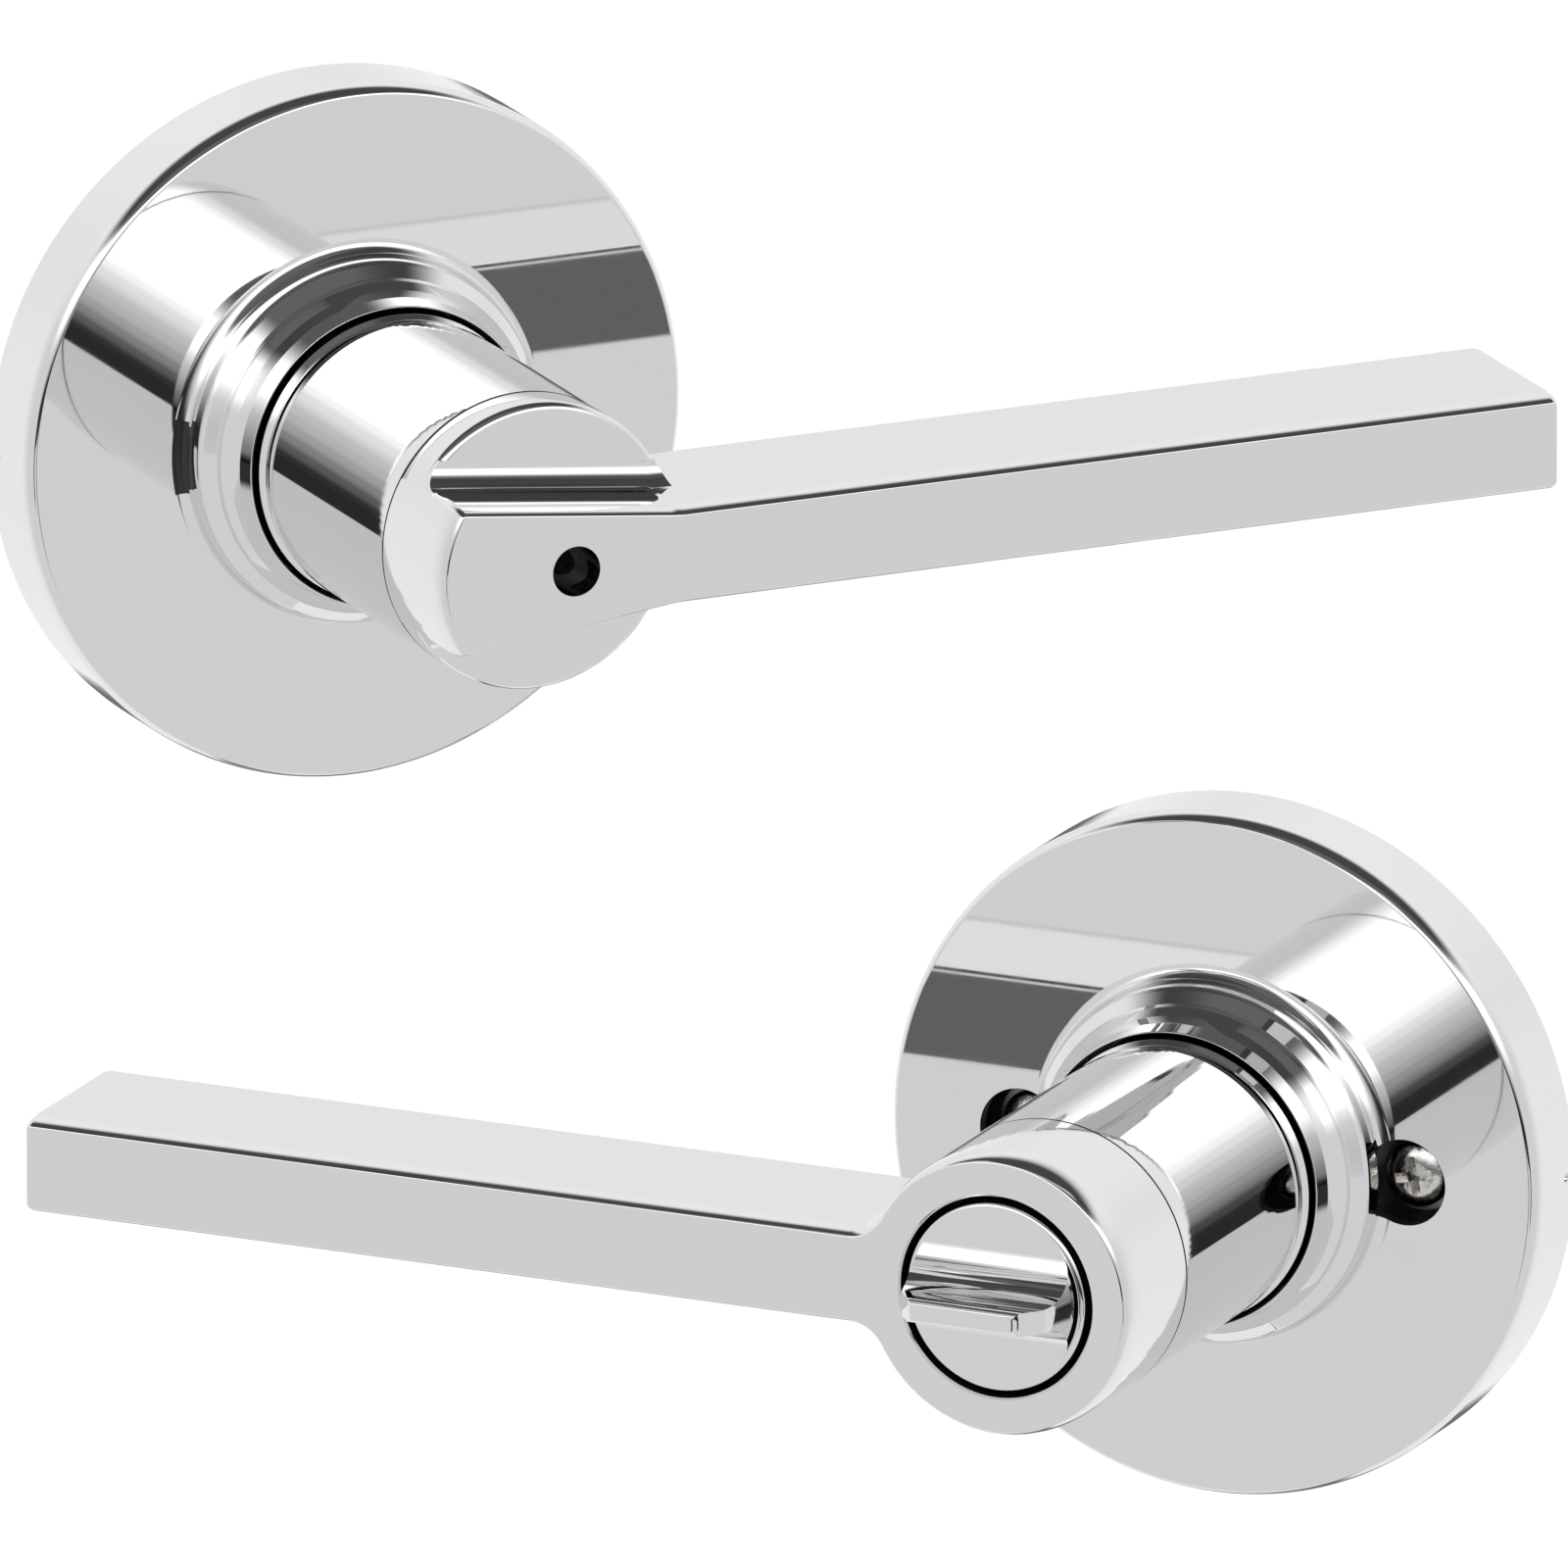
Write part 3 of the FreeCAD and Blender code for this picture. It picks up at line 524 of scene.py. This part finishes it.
def slab(outline, low, high, top_round, top_depth, foot_round, arc_steps=12):
    """Solid over an outline, with its top and foot edges eased by drawing each ring inward.

    The buffed top edge is an ellipse, top_round across the face and top_depth down the side.
    """
    points = [Vector(p) for p in outline]
    count = len(points)
    inward = []
    for i in range(count):
        before = (points[i] - points[i - 1]).normalized()
        after = (points[(i + 1) % count] - points[i]).normalized()
        sides = Vector((-before.y, before.x)) + Vector((-after.y, after.x))
        sides.normalize()
        square = sides.dot(Vector((-after.y, after.x)))
        inward.append(sides / max(square, 0.3))
    levels = []
    for i in range(arc_steps + 1):
        a = math.pi / 2 * i / arc_steps
        levels.append((low + foot_round * (1 - math.sin(a)), foot_round * (1 - math.cos(a))))
    levels.reverse()
    levels += [(high - drop, inset) for inset, drop in buffed_edge(top_round, top_depth, arc_steps)]
    shell = bmesh.new()
    rings = [[shell.verts.new((*(p + n * inset), z)) for p, n in zip(points, inward)] for z, inset in levels]
    for ring, following in zip(rings, rings[1:]):
        for i in range(count):
            j = (i + 1) % count
            shell.faces.new((ring[i], ring[j], following[j], following[i]))
    shell.faces.new(rings[-1])
    shell.faces.new(rings[0][::-1])
    bmesh.ops.recalc_face_normals(shell, faces=shell.faces)
    return shell


def corner_curve(line, radius, low, within):
    """Hollow fillet along a wall, trimmed flush with the head's side."""
    shell = bmesh.new()
    rings = []
    for x, y in line:
        hand = 1 if y > 0 else -1
        section = [(-0.6, -0.4), (-0.6, radius * 1.02)]
        section += [(radius - radius * math.cos(math.radians(a)) - 0.01,
                     radius - radius * math.sin(math.radians(a)) - 0.01) for a in range(0, 91, 6)]
        section.append((radius, -0.4))
        rings.append([shell.verts.new((x, y + hand * out, low + up)) for out, up in section])
    for ring, following in zip(rings, rings[1:]):
        for i in range(len(ring)):
            j = (i + 1) % len(ring)
            shell.faces.new((ring[i], ring[j], following[j], following[i]))
    shell.faces.new(rings[0][::-1])
    shell.faces.new(rings[-1])
    bmesh.ops.recalc_face_normals(shell, faces=shell.faces)
    strip = worked(shell, "strip", [("INTERSECT", within)])
    shell = bmesh.new()
    shell.from_mesh(strip.data)
    bpy.data.objects.remove(strip)
    return shell


REACH = 100.6
EDGE = 0.73
EDGE_DEPTH = 3.2
FOOT_EDGE = 0.5
CORNER = 1.1
HALF_BAR = 4.66
HEAD = 13.75
FRONT = 58.2
BACK = 40.2
SEAM = 45.28
LEDGE = 49.5
SOCKET = 8.55
SOCKET_END = 47
SPIGOT = 11.8
SPIGOT_FOOT = 33
# The outside bar widens across its head, from FLARE towards the tail, which stands a hair proud of it.
FLARE = 10.5
FLARE_HALF = 4.72
TAIL_HALF = 7.3
TAIL_BACK = 11.65
TAIL = HEAD + 0.02
PINHOLE = 2.4
HOLLOW = 2.4
tail_turn = math.degrees(math.asin(TAIL_HALF / TAIL))
tail = arc(0, 0, TAIL, 180 - tail_turn, 180 + tail_turn, 3)
bar = rounded(
    [(REACH, -HALF_BAR, CORNER), (REACH, HALF_BAR, CORNER), (FLARE, FLARE_HALF, 12.0), (*tail[0], 0.95)]
    + tail[1:-1] + [(*tail[-1], 0.95), (FLARE, -FLARE_HALF, 12.0)], closed=True, step=9)
head = lathe(rounded(((SOCKET, SPIGOT_FOOT), (SPIGOT, SPIGOT_FOOT), (SPIGOT, SEAM), (HEAD, SEAM, 0.12),
                      (HEAD, LEDGE, 0.8), (0, LEDGE), (0, SOCKET_END), (SOCKET, SOCKET_END)), step=9), 240)
room_below = lathe([(0, 30), (HEAD + 0.35, 30), (HEAD + 0.35, SEAM), (0, SEAM)], 240)


def wall_line(hand):
    """The bar's side across the head and a little past it, as (x, y)."""
    run = []
    for i in range(41):
        x = 15.5 - 30 * i / 40
        half_height = HALF_BAR
        if x <= FLARE:
            half_height = FLARE_HALF + (TAIL_HALF - FLARE_HALF) * (FLARE - x) / (FLARE + TAIL_BACK)
        run.append((x, hand * half_height))
    return run


def in_seam(r, p):
    """The gap between neck and head, where the painted shade goes."""
    return r < 14.15 and p.z < SEAM + 0.15


within = lathe([(0, 48), (HEAD - 0.02, 48), (HEAD - 0.02, 53), (0, 53)], 240)
outside_bar = slab(bar, BACK, FRONT, EDGE, EDGE_DEPTH, FOOT_EDGE)
pinhole = prism(circle(0, 0, PINHOLE, 8), 46, 60)
outside_lever = worked(outside_bar, "outside_lever_casting", [
    ("DIFFERENCE", room_below.copy()), ("UNION", head),
    ("UNION", corner_curve(wall_line(1), HOLLOW, LEDGE, within.copy())),
    ("UNION", corner_curve(wall_line(-1), HOLLOW, LEDGE, within)),
    ("DIFFERENCE", pinhole), ("DIFFERENCE", set_screw_hole(2.0, 6, 16))])
# Painted shade in the pinhole and in the seam gap.
fit(outside_lever, "outside", lever_chrome, "outside_handle", ["outside_lever"],
    dark=lambda r, p: r < 2.45 and p.z < 57.9 or in_seam(r, p))

ROOT = 3.6
POCKET = 9.8
POCKET_FLOOR = 50.2
root_x = math.sqrt((HEAD + ROOT) ** 2 - (HALF_BAR + ROOT) ** 2)
root_turn = math.degrees(math.atan2(HALF_BAR + ROOT, root_x))
outline = (rounded([(-50, HALF_BAR), (-REACH, HALF_BAR, CORNER), (-REACH, -HALF_BAR, CORNER),
                    (-50, -HALF_BAR)], step=9)
           + arc(-root_x, -HALF_BAR - ROOT, ROOT, 90, root_turn, 5)
           + arc(0, 0, HEAD, -180 + root_turn, 180 - root_turn, 2)[1:]
           + arc(-root_x, HALF_BAR + ROOT, ROOT, -root_turn, -90, 5)[1:])
inside_bar = slab(outline, BACK, FRONT, EDGE, EDGE_DEPTH, FOOT_EDGE)
spigot = lathe([(SOCKET, SPIGOT_FOOT), (SPIGOT, SPIGOT_FOOT), (SPIGOT, SEAM + 1), (SOCKET, SEAM + 1)], 240)
bore = lathe([(0, 30), (SOCKET, 30), (SOCKET, SOCKET_END), (2.6, SOCKET_END), (2.6, 51), (0, 51)], 120)
pocket = lathe(rounded([
    (0, POCKET_FLOOR), (POCKET, POCKET_FLOOR), (POCKET, FRONT - 0.2), (10.05, FRONT + 0.05),
    (10.05, FRONT + 1), (0, FRONT + 1)]), 240)
inside_lever = worked(inside_bar, "inside_lever_casting", [
    ("DIFFERENCE", room_below), ("DIFFERENCE", bore), ("UNION", spigot),
    ("DIFFERENCE", pocket), ("DIFFERENCE", set_screw_hole(2.0, 6, 16))])
# Painted shade in the button's pocket and in the seam gap.
fit(inside_lever, "inside", lever_chrome, "inside_handle", ["inside_lever"],
    dark=lambda r, p: r < 9.85 and p.z < FRONT - 0.15 or in_seam(r, p))

# Turn button: turned and milled brass, plated and polished. Its face lies level with the lever's, and a thumb
# blade with tapered ends stands out of it, with a hollow curve milled along each side.
BUTTON = 9.2
BUTTON_FOOT = 51.2
BLANK_HALF = 9.6
BLADE = 1.15
BLADE_FRONT = 65.7
COVE = 4.8
button_body = lathe(rounded((
    (0, BUTTON_FOOT), (BUTTON, BUTTON_FOOT, 0.3), (BUTTON, FRONT, 0.5), (BUTTON - 0.55, FRONT),
    (7.3, 63.6, 2.2), (5.4, BLADE_FRONT, 1.2), (0, BLADE_FRONT)), step=7), 240)
section = rounded((
    (-BLANK_HALF, 51), (BLANK_HALF, 51), (BLANK_HALF, FRONT), (BLADE, FRONT, COVE),
    (BLADE, BLADE_FRONT, 0.7), (-BLADE, BLADE_FRONT, 0.7), (-BLADE, FRONT, COVE),
    (-BLANK_HALF, FRONT)), closed=True, step=4)
milled = prism(section, -12, 12)
milled.transform(Matrix(((0, 0, 1, 0), (1, 0, 0, 0), (0, 1, 0, 0), (0, 0, 0, 1))))
bmesh.ops.recalc_face_normals(milled, faces=milled.faces)
button = worked(button_body, "turn_button_knob", [("INTERSECT", milled)])
# Painted shade on the button's side wall, down where it stands in the lever's pocket.
fit(button, "inside", chrome, "button", ["turn_button"], dark=lambda r, p: r > 9 and p.z < FRONT - 0.45)

# Through screws: M4 pan heads with a cross recess, nickel plated steel, run in from the inside half.
# Drivers have worn and brightened the heads.
def steel(name, light, dark, gloss, haze, grain, relief=0.2):
    """Machined or plated steel with fine marks from making, drawn at the given grain per metre."""
    return metal(name, (light, dark), gloss, haze, (grain / 6, 2.0), (grain, 5.0), relief, 0.05)


screw_steel = steel("nickel_plated_screw_steel", "#F1EFEC", "#C9C6C1", 0.08, 0.3, 1500.0, 1.0)
SEAT = 4.8
SCREW_TIP = -21
THREAD_FOOT = -20.6
THREAD_TURNS = 34
PITCH = 0.7
CORE = 1.62
CREST = 1.93
SCREW_HEAD = 3.2
SLOT_HALF = 0.48
SLOT_REACH = 1.9
screw_profile = [(0, SCREW_TIP), (1.3, SCREW_TIP)]
for thread in range(THREAD_TURNS):
    low = THREAD_FOOT + PITCH * thread
    screw_profile += [(CORE, low), (CREST, low + 0.3), (CREST, low + 0.38), (CORE, low + 0.66)]
screw_profile += rounded(((CORE, 4.2), (CREST, 4.4), (CREST, SEAT), (SCREW_HEAD, SEAT),
                          (SCREW_HEAD, SEAT + 1.3, 0.7), (1.9, SEAT + 1.93, 2.0), (0, SEAT + 1.98)), step=9)
pair = bmesh.new()
for hand in (-1, 1):
    cross = []
    for quarter in (0, 90):
        arm = prism(((-SLOT_HALF, -SLOT_REACH), (SLOT_HALF, -SLOT_REACH), (SLOT_HALF, SLOT_REACH),
                     (-SLOT_HALF, SLOT_REACH)), SEAT + 0.75, SEAT + 3)
        arm.transform(Matrix.Rotation(math.radians(quarter + 12 * hand), 4, "Z"))
        cross.append(("DIFFERENCE", arm))
    screw = worked(lathe(screw_profile, 48), "screw", cross)
    screw.data.transform(Matrix.Translation((hand * FIXING_REACH, 0, 0)))
    pair.from_mesh(screw.data)
    bpy.data.objects.remove(screw)
fit(solid_object(pair, "through_screws"), "inside", screw_steel, "fixed", ["inside_through_screws"])

# Hidden works: pressed and turned steel behind the roses, zinc plated or left bright.
finishes = {
    "chrome": chrome,
    "zinc_plated_steel": steel("zinc_plated_pressed_steel", "#B9BDC2", "#A3A7AD", 0.28, 0.42, 900.0),
    "bright_steel": steel("turned_bright_steel", "#B4B4B2", "#9C9C9B", 0.22, 0.36, 1400.0),
    "spring_wire": steel("drawn_spring_wire", "#9FA0A2", "#7F8083", 0.3, 0.42, 2200.0),
    "screw_steel": screw_steel,
    "black_steel": steel("blackened_steel", "#2B2B2D", "#19191A", 0.4, 0.55, 1800.0),
}
for part in frame["record"]["subparts"]:
    finish = finishes[part["material_slot"]]
    if part["node"] == "outside_release_rod":
        finish = finishes["black_steel"]
    piece = frame["nodes"][part["node"]]
    piece.data.materials.clear()
    piece.data.materials.append(finish)
